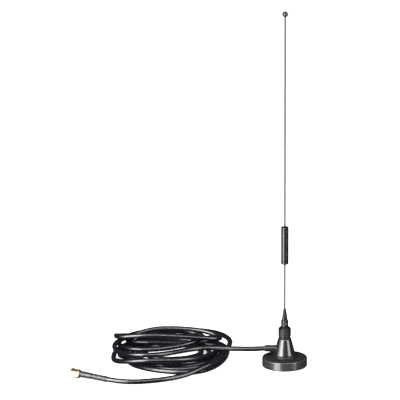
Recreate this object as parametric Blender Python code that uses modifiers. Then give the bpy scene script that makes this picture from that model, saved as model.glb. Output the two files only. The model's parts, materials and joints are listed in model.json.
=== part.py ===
"""Magnetic-mount whip antenna with a hank of coaxial cable and an SMA plug.

World metres, +Z up.  The origin is the centre of the underside of the foot pad.
The whip stands on +Z, the cable leaves the cone towards -X.
"""
import math

import bmesh
import bpy
import numpy as np
from mathutils import Matrix, Vector

# ---------------------------------------------------------------- dimensions
MM = 0.001
CLEAR = 0.0003                  # gap left between neighbouring pieces

PUCK_R = 0.0226                 # magnetic base
PUCK_TOP = 0.0090
PUCK_WALL = 0.0013
PUCK_ROOF = 0.0012
PUCK_RIM = 0.0010
PUCK_SKIRT = 0.0006
PAD_R = 0.0209
PAD_H = 0.0010
MAGNET_R = 0.0204
MAGNET_HOLE_R = 0.0110
MAGNET_TOP = 0.0062
PLATE_R = 0.0207
PLATE_H = 0.0010
CENTRE_HOLE_R = 0.0036

RING_R = 0.01215                # two-tier ring under the cone
RING_STEP_R = 0.01140
RING_STEP_Z = 0.0105
RING_TOP = 0.0116

CONE_FOOT = 0.0119
CONE_TOP = 0.0284
CONE_FOOT_R = 0.0110
CONE_TOP_R = 0.0066
CONE_WALL = 0.0018
CONE_ROOF = 0.0020
BOSS_CIRCLE_R = 0.0074
BOSS_R = 0.0022
BOSS_TOP = 0.0164
SCREW_R = 0.00105
SCREW_HOLE_R = 0.0013
SCREW_TIP = 0.0154
SCREW_HEAD_R = 0.0021
SCREW_HEAD_H = 0.0015

STUD_R = 0.00295                # M6 x 1 stud
STUD_FOOT = 0.0204
STUD_TOP = 0.0365
STUD_FLANGE_R = 0.0043
STUD_FLANGE_H = 0.0008
STUD_HOLE_R = 0.0032
STUD_NUT_FLATS = 0.0090
STUD_NUT_H = 0.0027

SEAL_IN_R = 0.0047
SEAL_OUT_R = 0.0062
SEAL_FOOT = 0.0287
SEAL_H = 0.0008

COLLAR_FOOT = 0.0298
COLLAR_BAND_R = 0.0060
COLLAR_BAND_TOP = 0.0310
COLLAR_R = 0.00635
COLLAR_SHOULDER = 0.0388
COLLAR_TOP = 0.0410
COLLAR_TOP_R = 0.0040
COLLAR_BORE_R = 0.00325
COLLAR_BORE_TOP = 0.0370
SPIGOT_HOLE_R = 0.0021

FERRULE_FOOT = 0.0413
FERRULE_R = 0.0036
FERRULE_SHOULDER = 0.0473
FERRULE_NECK_R = 0.0029
FERRULE_NECK = 0.0479
FERRULE_TOP = 0.0595
FERRULE_TOP_R = 0.00135
SPIGOT_R = 0.0019
SPIGOT_FOOT = 0.0383
GRUB_Z = 0.0444
GRUB_R = 0.0013

ROD_R = 0.00085
ROD_FOOT = 0.0430
ROD_TOP = 0.1160
ROD_BORE_R = 0.00105
COIL_R = 0.00375
COIL_FOOT = 0.1063
COIL_TOP = 0.1449
COIL_CAP_H = 0.0030
SLEEVE_BORE_R = 0.0032
CAP_SPIGOT_R = 0.0029
CAP_SPIGOT_H = 0.0018
FORMER_R = 0.0020
WIRE_R = 0.00035
WIRE_HELIX_R = 0.00260
WIRE_TURNS = 12
WIRE_FACETS = 10
UPPER_ROD_R = 0.00080
UPPER_ROD_FOOT = 0.1350
UPPER_ROD_TOP = 0.3653
BALL_R = 0.0028
BALL_Z = 0.3662

CABLE_R = 0.002475              # RG58 class cable
CABLE_Z = 0.0178
JACKET_START_X = -0.0035
JACKET_BORE_R = 0.00195
JACKET_BORE_DEPTH = 0.0030
BOOT_R = 0.0034
BOOT_BORE_R = 0.0026
BOOT_END_X = -0.0199
BOOT_FLANGE_R = 0.0038
BRAID_R = 0.0018
BRAID_IN_R = 0.00155
CORE_R = 0.0014
CORE_BORE_R = 0.0006
WIRE_CORE_R = 0.00045

PLUG_FRONT = Vector((-0.2136, -0.0392, 0.0052))
PLUG_BACKWARD = Vector((0.0355, -0.0180, -0.0018)).normalized()
NUT_FLATS = 0.0080
NUT_LENGTH = 0.0096
NUT_THREAD_R = 0.00325
NUT_THREAD_DEPTH = 0.0060
NUT_LIP_R = 0.00255
PLUG_JACKET_S = 0.0193          # distance of the jacket end behind the nut's front face
SHRINK_SHORT = (0.0099, 0.0234)
SHRINK_LONG = (0.0237, 0.0398)

HANK_GAP = 0.0055               # centre distance kept between strands of the hank
PATH_STEP = 0.003
CHORD_SAG = 0.00016

# Stations of the hank, one row per turn, in millimetres.  Each turn runs
# front -> left -> back -> right, clockwise seen from above.
HANK_TURNS = [
    ((-138, -26, 16.8), (-170.5, 17, 10.6, 2.0), (-122, 50, 17.4), (-65.5, 34, 12.6)),
    ((-135, 18, 21.2), (-170, 33, 16.0, 0.5), (-130, 52, 9.4), (-66, 36, 7.4)),
    ((-132, -26, 13.0), (-169, 4, 5.8), (-112, 86, 2.6), (-58.5, 42, 2.6)),
    ((-98, -31, 2.6), (-159, 17, 2.6), (-114, 76, 4.0), (-80, 42, 13.5)),
    ((-138, 15, 8.6), (-163.5, 37, 8.2), (-105, 75, 7.4), (-68.5, 40, 2.6)),
    ((-111, -14, 2.6), (-165, 20, 3.2), (-104, 70, 2.6), (-72, 53, 10.0)),
    ((-133, 36, 9.8), (-158, 51, 6.8), (-118, 65, 7.6), (-76, 36, 2.6)),
    ((-118, -7, 2.6), (-148, 32, 2.6), (-110, 64, 2.6), (-84, 36, 2.6)),
    ((-124, 6, 2.6), (-142.5, 34, 2.6), (-106, 78, 5.4), (-63.5, 40, 2.6)),
    ((-108, -22, 2.6), (-153.5, 27, 2.6), (-92, 84, 8.6), (-54.5, 38, 11.0)),
]
HANK_EXIT = [(-33, 0.2, 17.0), (-48, 1.5, 16.6), (-62, 3.5, 16.4), (-75, 5, 16.2)]
HANK_TAIL = [(-59, 8, 10.5), (-69, -18, 9.5), (-83, -32, 6.8), (-100, -44, 3.4),
             (-122, -56, 2.7), (-146, -63.3, 2.7), (-163, -62.3, 2.8)]

# ---------------------------------------------------------------- clean start
for old in list(bpy.data.objects):
    bpy.data.objects.remove(old, do_unlink=True)

ANTENNA = bpy.data.collections.new("magnetic_whip_antenna")
CUTTERS = bpy.data.collections.new("cutters")
bpy.context.scene.collection.children.link(ANTENNA)
bpy.context.scene.collection.children.link(CUTTERS)


# ---------------------------------------------------------------- helpers
def material(name, colour, roughness, metallic):
    """Give each piece its own Principled material."""
    mat = bpy.data.materials.new(name)
    mat.use_nodes = True
    shader = mat.node_tree.nodes["Principled BSDF"]
    shader.inputs["Base Color"].default_value = (*colour, 1.0)
    shader.inputs["Roughness"].default_value = roughness
    shader.inputs["Metallic"].default_value = metallic
    mat.diffuse_color = (*colour, 1.0)
    return mat


LOOKS = {
    "rubber": ((0.020, 0.020, 0.021), 0.75, 0.0),
    "ferrite": ((0.060, 0.060, 0.065), 0.55, 0.1),
    "zinc": ((0.55, 0.56, 0.58), 0.35, 1.0),
    "black_paint": ((0.030, 0.030, 0.032), 0.35, 0.2),
    "black_abs": ((0.022, 0.022, 0.024), 0.22, 0.0),
    "brass": ((0.72, 0.55, 0.25), 0.30, 1.0),
    "black_chrome": ((0.050, 0.050, 0.055), 0.25, 0.8),
    "black_steel": ((0.035, 0.035, 0.038), 0.40, 0.6),
    "copper": ((0.72, 0.38, 0.22), 0.30, 1.0),
    "tinned": ((0.62, 0.63, 0.64), 0.35, 1.0),
    "nylon": ((0.75, 0.74, 0.70), 0.50, 0.0),
    "ptfe": ((0.86, 0.86, 0.84), 0.45, 0.0),
    "pvc": ((0.026, 0.026, 0.030), 0.42, 0.0),
    "shrink": ((0.060, 0.060, 0.064), 0.50, 0.0),
    "gold": ((0.86, 0.68, 0.32), 0.22, 1.0),
    "silicone": ((0.45, 0.10, 0.07), 0.60, 0.0),
}


def finish(obj, look, collection=ANTENNA):
    """Link a piece, colour it and smooth its round faces."""
    if obj.name not in collection.objects:
        collection.objects.link(obj)
    if look is None:
        obj.hide_render = True
        obj.display_type = "WIRE"
        return obj
    obj.data.materials.clear()
    obj.data.materials.append(material(obj.name + "_material", *LOOKS[look]))
    obj.data.shade_smooth()
    obj.data.set_sharp_from_angle(angle=math.radians(32))
    return obj


def lathe(name, profile, look, steps=32, closed=False, collection=ANTENNA):
    """Turn an (r, z) profile about Z; it runs down the outer side, top to bottom."""
    mesh = bpy.data.meshes.new(name)
    points = [(r, 0.0, z) for r, z in profile]
    edges = [(i, i + 1) for i in range(len(points) - 1)]
    if closed:
        edges.append((len(points) - 1, 0))
    mesh.from_pydata(points, edges, [])
    obj = bpy.data.objects.new(name, mesh)
    screw = obj.modifiers.new("turn", "SCREW")
    screw.axis = "Z"
    screw.angle = math.tau
    screw.steps = steps
    screw.render_steps = steps
    screw.use_merge_vertices = True
    screw.merge_threshold = 1e-5
    screw.use_normal_calculate = False
    return finish(obj, look, collection)


def tube(name, outer, inner, low, high, look, steps=24, collection=ANTENNA):
    """Turned ring of rectangular section."""
    profile = [(inner, high), (outer, high), (outer, low), (inner, low)]
    return lathe(name, profile, look, steps, closed=True, collection=collection)


def rod(name, radius, low, high, look, steps=16, collection=ANTENNA):
    """Turned solid cylinder."""
    profile = [(0, high), (radius, high), (radius, low), (0, low)]
    return lathe(name, profile, look, steps, collection=collection)


def block(name, low, high, look, collection=ANTENNA):
    """Box between two corners."""
    mesh = bpy.data.meshes.new(name)
    shape = bmesh.new()
    bmesh.ops.create_cube(shape, size=1.0)
    for vert in shape.verts:
        for axis in range(3):
            vert.co[axis] = low[axis] if vert.co[axis] < 0 else high[axis]
    shape.to_mesh(mesh)
    shape.free()
    return finish(bpy.data.objects.new(name, mesh), look, collection)


def hexagon(name, flats, low, high, look, collection=ANTENNA):
    """Hexagonal prism about Z with flats facing +X and -X."""
    mesh = bpy.data.meshes.new(name)
    shape = bmesh.new()
    corner = flats / math.sqrt(3)
    bmesh.ops.create_cone(shape, cap_ends=True, segments=6, radius1=corner,
                          radius2=corner, depth=high - low)
    bmesh.ops.translate(shape, verts=shape.verts, vec=(0, 0, (low + high) / 2))
    shape.to_mesh(mesh)
    shape.free()
    return finish(bpy.data.objects.new(name, mesh), look, collection)


def combine(obj, other, operation):
    """Boolean with a cutter that stays in its own collection."""
    step = obj.modifiers.new(operation.lower() + "_" + other.name, "BOOLEAN")
    step.object = other
    step.operation = operation
    step.solver = "EXACT"
    return obj


def drill(obj, name, radius, low, high, steps=12, at=(0, 0), turn=None):
    """Round hole along Z, or along another direction given by a rotation."""
    cutter = rod(name, radius, low, high, None, steps, CUTTERS)
    if turn is None:
        cutter.location = (at[0], at[1], 0)
    else:
        cutter.matrix_world = turn
    return combine(obj, cutter, "DIFFERENCE")


def round_off(radius_at, z_at, radius, start, stop, count):
    """Points of an arc in the (r, z) plane; angles in degrees."""
    points = []
    for i in range(count + 1):
        angle = math.radians(start + (stop - start) * i / count)
        points.append((radius_at + radius * math.cos(angle), z_at + radius * math.sin(angle)))
    return points


def sweep(name, points, radius, look, resolution=2):
    """Solid wire along points: bevelled curve turned into a mesh with welded caps."""
    curve = bpy.data.curves.new(name, "CURVE")
    curve.dimensions = "3D"
    curve.bevel_depth = radius
    curve.bevel_resolution = resolution
    curve.use_fill_caps = True
    spline = curve.splines.new("POLY")
    spline.points.add(len(points) - 1)
    for target, point in zip(spline.points, points):
        target.co = (*point, 1.0)
    carrier = bpy.data.objects.new(name + "_curve", curve)
    ANTENNA.objects.link(carrier)
    bpy.context.view_layer.update()
    evaluated = carrier.evaluated_get(bpy.context.evaluated_depsgraph_get())
    mesh = bpy.data.meshes.new_from_object(evaluated)
    placed = carrier.matrix_world.copy()
    bpy.data.objects.remove(carrier, do_unlink=True)
    shape = bmesh.new()
    shape.from_mesh(mesh)
    bmesh.ops.remove_doubles(shape, verts=shape.verts, dist=1e-6)
    bmesh.ops.recalc_face_normals(shape, faces=shape.faces)
    shape.to_mesh(mesh)
    shape.free()
    obj = bpy.data.objects.new(name, mesh)
    obj.matrix_world = placed
    return finish(obj, look)


def screw_places():
    """Centres of the three screws; the cable side, -X, stays free."""
    places = []
    for i in range(3):
        angle = math.tau * i / 3
        places.append((BOSS_CIRCLE_R * math.cos(angle), BOSS_CIRCLE_R * math.sin(angle)))
    return places


# ---------------------------------------------------------------- magnetic base
def build_base():
    lathe("foot_pad", [(0, PAD_H), (PAD_R, PAD_H), (PAD_R, 0.0003), (PAD_R - 0.0003, 0),
                       (0, 0)], "rubber", 48)

    lathe("ring_magnet", [(MAGNET_HOLE_R, MAGNET_TOP), (MAGNET_R - 0.0004, MAGNET_TOP),
                          (MAGNET_R, MAGNET_TOP - 0.0004), (MAGNET_R, PAD_H + CLEAR),
                          (MAGNET_HOLE_R, PAD_H + CLEAR)], "ferrite", 40, closed=True)

    low = MAGNET_TOP + CLEAR
    plate = tube("backing_plate", PLATE_R, CENTRE_HOLE_R, low, low + PLATE_H, "zinc", 40)

    roof = PUCK_TOP - PUCK_ROOF
    rim = round_off(PUCK_R - PUCK_RIM, PUCK_TOP - PUCK_RIM, PUCK_RIM, 90, 0, 3)
    inner = PUCK_R - PUCK_WALL
    profile = [(CENTRE_HOLE_R, PUCK_TOP), *rim, (PUCK_R, PUCK_SKIRT + 0.0003),
               (PUCK_R - 0.0003, PUCK_SKIRT), (inner, PUCK_SKIRT), (inner, roof),
               (CENTRE_HOLE_R, roof)]
    cover = lathe("puck_cover", profile, "black_paint", 56, closed=True)

    profile = [(CENTRE_HOLE_R, RING_TOP), (RING_STEP_R - 0.0003, RING_TOP),
               (RING_STEP_R, RING_TOP - 0.0003), (RING_STEP_R, RING_STEP_Z),
               (RING_R - 0.0003, RING_STEP_Z), (RING_R, RING_STEP_Z - 0.0003),
               (RING_R, PUCK_TOP + 0.0002), (CENTRE_HOLE_R, PUCK_TOP + 0.0002)]
    ring = lathe("foot_ring", profile, "black_abs", 36, closed=True)

    for i, place in enumerate(screw_places()):
        for obj in (plate, cover, ring):
            drill(obj, f"screw_way_{obj.name}_{i}", SCREW_HOLE_R, 0.004, 0.013, at=place)


def build_screws():
    for i, place in enumerate(screw_places()):
        foot = MAGNET_TOP - SCREW_HEAD_H
        profile = [(0, SCREW_TIP), (SCREW_R - 0.0004, SCREW_TIP), (SCREW_R, SCREW_TIP - 0.0006),
                   (SCREW_R, MAGNET_TOP), (SCREW_HEAD_R, MAGNET_TOP),
                   (SCREW_HEAD_R, foot + 0.0004), (SCREW_HEAD_R - 0.0004, foot), (0, foot)]
        screw = lathe(f"puck_screw_{i + 1}", profile, "zinc", 16)
        screw.location = (*place, 0)
        socket = hexagon(f"puck_screw_socket_{i + 1}", 0.0016, foot - 0.001, foot + 0.0008,
                         None, CUTTERS)
        socket.location = (*place, 0)
        combine(screw, socket, "DIFFERENCE")


def cone_radius(z):
    """Outer radius of the cone at a height."""
    share = (z - CONE_FOOT) / (CONE_TOP - CONE_FOOT)
    return CONE_FOOT_R + (CONE_TOP_R - CONE_FOOT_R) * share


def build_cone():
    roof = CONE_TOP - CONE_ROOF
    profile = [(0.0033, CONE_TOP), (CONE_TOP_R - 0.0004, CONE_TOP),
               (cone_radius(CONE_TOP - 0.0005), CONE_TOP - 0.0005),
               (CONE_FOOT_R, CONE_FOOT), (CONE_FOOT_R - CONE_WALL, CONE_FOOT),
               (cone_radius(roof) - CONE_WALL, roof), (0.0033, roof)]
    cone = lathe("cone_housing", profile, "black_abs", 40, closed=True)
    for i, place in enumerate(screw_places()):
        boss = rod(f"cone_boss_{i}", BOSS_R, CONE_FOOT, BOSS_TOP, None, 16, CUTTERS)
        boss.location = (*place, 0)
        combine(cone, boss, "UNION")
    for i, place in enumerate(screw_places()):
        drill(cone, f"boss_bore_{i}", SCREW_HOLE_R, 0.010, SCREW_TIP + 0.0005, at=place)
    sideways = Matrix.Translation((0, 0, CABLE_Z)) @ Matrix.Rotation(-math.pi / 2, 4, "Y")
    drill(cone, "boot_way", BOOT_R + 0.00025, 0.004, 0.014, 24, turn=sideways)


def build_feed():
    """Stud, its fixings inside the cone and the solder tab."""
    flange_low = CONE_TOP + 0.0002
    profile = [(0, STUD_TOP), (STUD_R - 0.0005, STUD_TOP), (STUD_R, STUD_TOP - 0.0006),
               (STUD_R, flange_low + STUD_FLANGE_H), (STUD_FLANGE_R, flange_low + STUD_FLANGE_H),
               (STUD_FLANGE_R, flange_low), (STUD_R, flange_low), (STUD_R, STUD_FOOT + 0.0005),
               (STUD_R - 0.0005, STUD_FOOT), (0, STUD_FOOT)]
    lathe("whip_stud", profile, "brass", 24)

    washer_low = CONE_TOP - CONE_ROOF - 0.0013
    washer = tube("lock_washer", 0.0047, STUD_HOLE_R, washer_low, washer_low + 0.0008, "zinc", 24)
    slit = block("washer_slit", (0.002, -0.0003, 0.020), (0.006, 0.0003, 0.028), None, CUTTERS)
    slit.rotation_euler = (0, 0, math.radians(110))
    combine(washer, slit, "DIFFERENCE")

    tab_low = washer_low - 0.0008
    tab = tube("feed_tab", 0.0044, STUD_HOLE_R, tab_low, tab_low + 0.0005, "tinned", 24)
    arm = block("tab_arm", (0.0036, -0.0012, tab_low), (0.0053, 0.0012, tab_low + 0.0005),
                None, CUTTERS)
    leg = block("tab_leg", (0.0048, -0.0012, 0.0168), (0.0053, 0.0012, tab_low + 0.0005),
                None, CUTTERS)
    combine(tab, arm, "UNION")
    combine(tab, leg, "UNION")
    sideways = Matrix.Translation((0, 0, CABLE_Z)) @ Matrix.Rotation(math.pi / 2, 4, "Y")
    drill(tab, "tab_eye", 0.00075, 0.004, 0.006, 16, turn=sideways)

    nut_low = tab_low - 0.0003 - STUD_NUT_H
    nut = hexagon("stud_nut", STUD_NUT_FLATS, nut_low, nut_low + STUD_NUT_H, "brass")
    drill(nut, "stud_nut_bore", STUD_HOLE_R, nut_low - 0.001, nut_low + 0.005, 24)


def along_x(obj):
    """Lay a piece turned about Z so that its +Z points to +X at cable height."""
    obj.rotation_euler = (0, math.pi / 2, 0)
    obj.location = (0, 0, CABLE_Z)
    return obj


def build_cable_entry():
    """Strain relief, pull stop and the stripped end of the cable inside the cone."""
    tip = round_off(BOOT_R - 0.0005, BOOT_END_X + 0.0005, 0.0005, 0, -90, 3)
    profile = [(BOOT_BORE_R, -0.0054), (BOOT_FLANGE_R, -0.0054), (BOOT_FLANGE_R, -0.0060),
               (BOOT_R, -0.0060), *tip, (BOOT_BORE_R, BOOT_END_X)]
    along_x(lathe("cable_boot", profile, "rubber", 24, closed=True))
    along_x(tube("pull_stop", 0.0031, BOOT_BORE_R, -0.0051, -0.0037, "zinc", 20))
    inside = JACKET_START_X - JACKET_BORE_DEPTH + CLEAR
    along_x(tube("braid_base", BRAID_R, BRAID_IN_R, inside, -0.0020, "tinned", 16))
    along_x(tube("insulation_base", CORE_R, CORE_BORE_R, inside, -0.0010, "nylon", 16))
    along_x(rod("conductor_base", WIRE_CORE_R, inside, 0.0059, "copper", 10))
    lead = [(-2.6, 0, 15.55), (-2.6, 0, 12), (-2.6, 0, 8), (-2.75, 0, 6.7), (-3.3, 0, 6.0),
            (-4.2, 0, 5.85), (-5.8, 0, 5.85)]
    sweep("ground_lead", [tuple(c * MM for c in p) for p in lead], 0.00042, "tinned", 1)


# ---------------------------------------------------------------- whip
def build_collar():
    profile = [(SPIGOT_HOLE_R, COLLAR_TOP), (COLLAR_TOP_R, COLLAR_TOP),
               (COLLAR_R - 0.0003, COLLAR_SHOULDER + 0.0004), (COLLAR_R, COLLAR_SHOULDER),
               (COLLAR_R, COLLAR_BAND_TOP + 0.0003), (COLLAR_BAND_R, COLLAR_BAND_TOP),
               (COLLAR_BAND_R, COLLAR_FOOT + 0.0003), (COLLAR_BAND_R - 0.0003, COLLAR_FOOT),
               (COLLAR_BORE_R, COLLAR_FOOT), (COLLAR_BORE_R, COLLAR_BORE_TOP),
               (SPIGOT_HOLE_R, COLLAR_BORE_TOP + 0.0006)]
    lathe("whip_collar", profile, "black_chrome", 32, closed=True)
    tube("seal_washer", SEAL_OUT_R, SEAL_IN_R, SEAL_FOOT, SEAL_FOOT + SEAL_H, "rubber", 32)


def build_ferrule():
    profile = [(0, ROD_FOOT - CLEAR), (ROD_BORE_R, ROD_FOOT - CLEAR), (ROD_BORE_R, FERRULE_TOP),
               (FERRULE_TOP_R, FERRULE_TOP), (FERRULE_NECK_R, FERRULE_NECK),
               (FERRULE_R, FERRULE_SHOULDER), (FERRULE_R, FERRULE_FOOT + 0.0003),
               (FERRULE_R - 0.0003, FERRULE_FOOT), (SPIGOT_R, FERRULE_FOOT),
               (SPIGOT_R, SPIGOT_FOOT), (0, SPIGOT_FOOT)]
    ferrule = lathe("whip_ferrule", profile, "black_chrome", 24)
    forwards = Matrix.Translation((0, 0, GRUB_Z)) @ Matrix.Rotation(math.pi / 2, 4, "X")
    drill(ferrule, "grub_way", GRUB_R + 0.0002, 0.0006, 0.0045, 16, turn=forwards)
    grub = rod("grub_screw", GRUB_R, 0.00105, 0.0034, "black_steel", 16)
    grub.matrix_world = forwards
    socket = hexagon("grub_socket", 0.0015, 0.0022, 0.0040, None, CUTTERS)
    socket.matrix_world = forwards
    combine(grub, socket, "DIFFERENCE")


def build_coil():
    """Loading coil in its sleeve between the two rods."""
    rod("lower_rod", ROD_R, ROD_FOOT, ROD_TOP, "black_steel", 12)
    low = COIL_FOOT + COIL_CAP_H
    high = COIL_TOP - COIL_CAP_H
    edge = 0.0005
    profile = [(ROD_BORE_R, low + CAP_SPIGOT_H), (CAP_SPIGOT_R, low + CAP_SPIGOT_H),
               (CAP_SPIGOT_R, low), (COIL_R, low), (COIL_R, COIL_FOOT + edge),
               (COIL_R - edge, COIL_FOOT), (ROD_BORE_R, COIL_FOOT)]
    lathe("coil_cap_lower", profile, "black_abs", 24, closed=True)
    profile = [(ROD_BORE_R, COIL_TOP), (COIL_R - edge, COIL_TOP), (COIL_R, COIL_TOP - edge),
               (COIL_R, high), (CAP_SPIGOT_R, high), (CAP_SPIGOT_R, high - CAP_SPIGOT_H),
               (ROD_BORE_R, high - CAP_SPIGOT_H)]
    lathe("coil_cap_upper", profile, "black_abs", 24, closed=True)
    tube("coil_sleeve", COIL_R, SLEEVE_BORE_R, low + 0.0002, high - 0.0002, "black_abs", 24)
    former_low = low + CAP_SPIGOT_H + CLEAR
    former_high = high - CAP_SPIGOT_H - CLEAR
    tube("coil_former", FORMER_R, ROD_BORE_R, former_low, former_high, "nylon", 16)
    start = former_low + 0.0008
    pitch = (former_high - former_low - 0.0016) / WIRE_TURNS
    points = []
    for i in range(WIRE_TURNS * WIRE_FACETS + 1):
        angle = math.tau * i / WIRE_FACETS
        points.append((WIRE_HELIX_R * math.cos(angle), WIRE_HELIX_R * math.sin(angle),
                       start + pitch * i / WIRE_FACETS))
    sweep("phasing_coil", points, WIRE_R, "copper", 1)
    rod("upper_rod", UPPER_ROD_R, UPPER_ROD_FOOT, UPPER_ROD_TOP, "black_steel", 12)
    bore = UPPER_ROD_R + 0.00015
    mouth = math.degrees(math.asin(bore / BALL_R))
    arc = round_off(0, BALL_Z, BALL_R, 90, -90 + mouth, 9)
    profile = [(0, BALL_Z + BALL_R), *arc[1:], (bore, UPPER_ROD_TOP + CLEAR),
               (0, UPPER_ROD_TOP + CLEAR)]
    lathe("tip_ball", profile, "black_abs", 16)


# ---------------------------------------------------------------- cable path
def ease(t):
    """Smooth step from 0 to 1."""
    return t * t * (3 - 2 * t)


def quarter(start, end, along_x_first):
    """Quarter of an ellipse in plan from one station to the next.

    A fourth number in a station delays (above 1) or hastens (below 1) the climb after it.
    """
    t = np.linspace(0, 1, 40, endpoint=False)
    rise = np.sin(t * np.pi / 2)
    fall = 1 - np.cos(t * np.pi / 2)
    share_x, share_y = (rise, fall) if along_x_first else (fall, rise)
    lag = start[3] if len(start) > 3 else 1
    a = np.array(start[:3], float)
    b = np.array(end[:3], float)
    return np.stack([a[0] + (b[0] - a[0]) * share_x, a[1] + (b[1] - a[1]) * share_y,
                     a[2] + (b[2] - a[2]) * ease(t) ** lag], axis=1)


def through(controls, before=None):
    """Smooth line through control points, with an optional point leading in."""
    c = np.array(controls, float)
    first = 2 * c[0] - c[1] if before is None else np.array(before, float)
    p = np.vstack([first, c, 2 * c[-1] - c[-2]])
    t = np.linspace(0, 1, 20, endpoint=False)[:, None]
    pieces = []
    for i in range(1, len(p) - 2):
        a, b, d, e = p[i - 1], p[i], p[i + 1], p[i + 2]
        pieces.append(0.5 * (2 * b + (d - a) * t + (2 * a - 5 * b + 4 * d - e) * t ** 2
                             + (3 * b - a - 3 * d + e) * t ** 3))
    pieces.append(c[-1:])
    return np.vstack(pieces)


def resample(points, step):
    """Points at an even distance along a line."""
    length = np.concatenate([[0], np.cumsum(np.linalg.norm(np.diff(points, axis=0), axis=1))])
    at = np.linspace(0, length[-1], int(round(length[-1] / step)) + 1)
    return np.stack([np.interp(at, length, points[:, k]) for k in range(3)], axis=1)


def settle(points, gap, floor, rounds, fixed, refresh=10):
    """Push strands apart until none is nearer than the gap, keeping the shift smooth."""
    count = len(points)
    step = np.linalg.norm(np.diff(points, axis=0), axis=1).mean()
    index = np.arange(count)
    free = np.ones((count, 1))
    free[:fixed] = 0
    free[-fixed:] = 0
    apart = np.triu(np.abs(index[:, None] - index[None, :]) * step > 4 * gap)
    shift = np.zeros_like(points)
    for turn in range(rounds):
        q = points + shift
        if turn % refresh == 0:
            square = (q ** 2).sum(axis=1)
            distance2 = square[:, None] + square[None] - 2 * q @ q.T
            i, j = np.nonzero(apart & (distance2 < (gap * 1.8) ** 2))
        line = q[i] - q[j]
        distance = np.linalg.norm(line, axis=1)
        over = np.maximum(gap - distance, 0)
        push = line / np.maximum(distance, 1e-6)[:, None] * (0.5 * over)[:, None]
        total = np.zeros_like(points)
        hits = np.zeros(count)
        np.add.at(total, i, push)
        np.add.at(total, j, -push)
        np.add.at(hits, i, over > 0)
        np.add.at(hits, j, over > 0)
        total /= np.sqrt(np.maximum(hits, 1))[:, None]
        total[:, 2] += 0.5 * np.maximum(floor - q[:, 2], 0)
        shift = shift + total * free
        inner = 0.25 * shift[:-2] + 0.5 * shift[1:-1] + 0.25 * shift[2:]
        shift[1:-1] = inner * free[1:-1]
    return points + shift


def cable_path():
    """Centre line of the cable in millimetres, from the cone to the plug."""
    plug = np.array(PLUG_FRONT) / MM
    back = np.array(PLUG_BACKWARD)
    start = np.array((JACKET_START_X / MM, 0, CABLE_Z / MM))
    straight = [start, (-12, 0, CABLE_Z / MM), (-20.5, 0, CABLE_Z / MM - 0.1)]
    pieces = [through([*straight, *HANK_EXIT])]
    leaving = np.array(HANK_EXIT[-1], float)
    first = np.array(HANK_TURNS[0][0][:3], float)
    t = np.linspace(0, 1, 40, endpoint=False)[1:, None]
    lead = leaving + (first - leaving) * ease(t)
    lead[:, 0] = (leaving[0] + (first[0] - leaving[0]) * t[:, 0])
    pieces.append(lead)
    for i, (front, left, rear, right) in enumerate(HANK_TURNS):
        pieces.append(quarter(front, left, True))
        pieces.append(quarter(left, rear, False))
        pieces.append(quarter(rear, right, True))
        if i + 1 < len(HANK_TURNS):
            pieces.append(quarter(right, HANK_TURNS[i + 1][0], False))
    last = HANK_TURNS[-1][3][:3]
    ends = [plug + back * s for s in (42, 36, 28, PLUG_JACKET_S / MM)]
    pieces.append(through([last, *HANK_TAIL, *ends], before=np.array(last) + (4, 20, 0)))
    line = resample(np.vstack(pieces), PATH_STEP / MM)
    return settle(line, HANK_GAP / MM, CABLE_R / MM, rounds=2000, fixed=8)


def thin_out(points, sag):
    """Keep only the points a chord needs to stay within the sag of the line."""
    kept = [0]
    at = 0
    while at < len(points) - 1:
        reach = at + 1
        while reach + 1 < len(points):
            ahead = reach + 1
            a, b = points[at], points[ahead]
            direction = (b - a) / np.linalg.norm(b - a)
            between = points[at + 1:ahead] - a
            off = between - np.outer(between @ direction, direction)
            if np.linalg.norm(off, axis=1).max() > sag or ahead - at > 7:
                break
            reach = ahead
        kept.append(reach)
        at = reach
    return points[kept]


def build_cable():
    line = thin_out(cable_path(), CHORD_SAG / MM)
    points = [tuple(float(c) * MM for c in p) for p in line]
    points[0] = (JACKET_START_X, 0, CABLE_Z)
    jacket = sweep("coax_jacket", points, CABLE_R, "pvc", 2)
    depth = JACKET_BORE_DEPTH
    first = Matrix.Translation((JACKET_START_X, 0, CABLE_Z)) @ Matrix.Rotation(-math.pi / 2, 4, "Y")
    drill(jacket, "jacket_bore_base", JACKET_BORE_R, -0.001, depth, 16, turn=first)
    drill(jacket, "jacket_bore_plug", JACKET_BORE_R, -PLUG_JACKET_S - depth,
          -PLUG_JACKET_S + 0.001, 16, turn=plug_frame())


# ---------------------------------------------------------------- SMA plug
def plug_frame():
    """Frame of the plug: origin in the nut's front face, +Z towards the mating part."""
    turn = (-PLUG_BACKWARD).to_track_quat("Z", "Y")
    return Matrix.Translation(PLUG_FRONT) @ turn.to_matrix().to_4x4()


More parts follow.
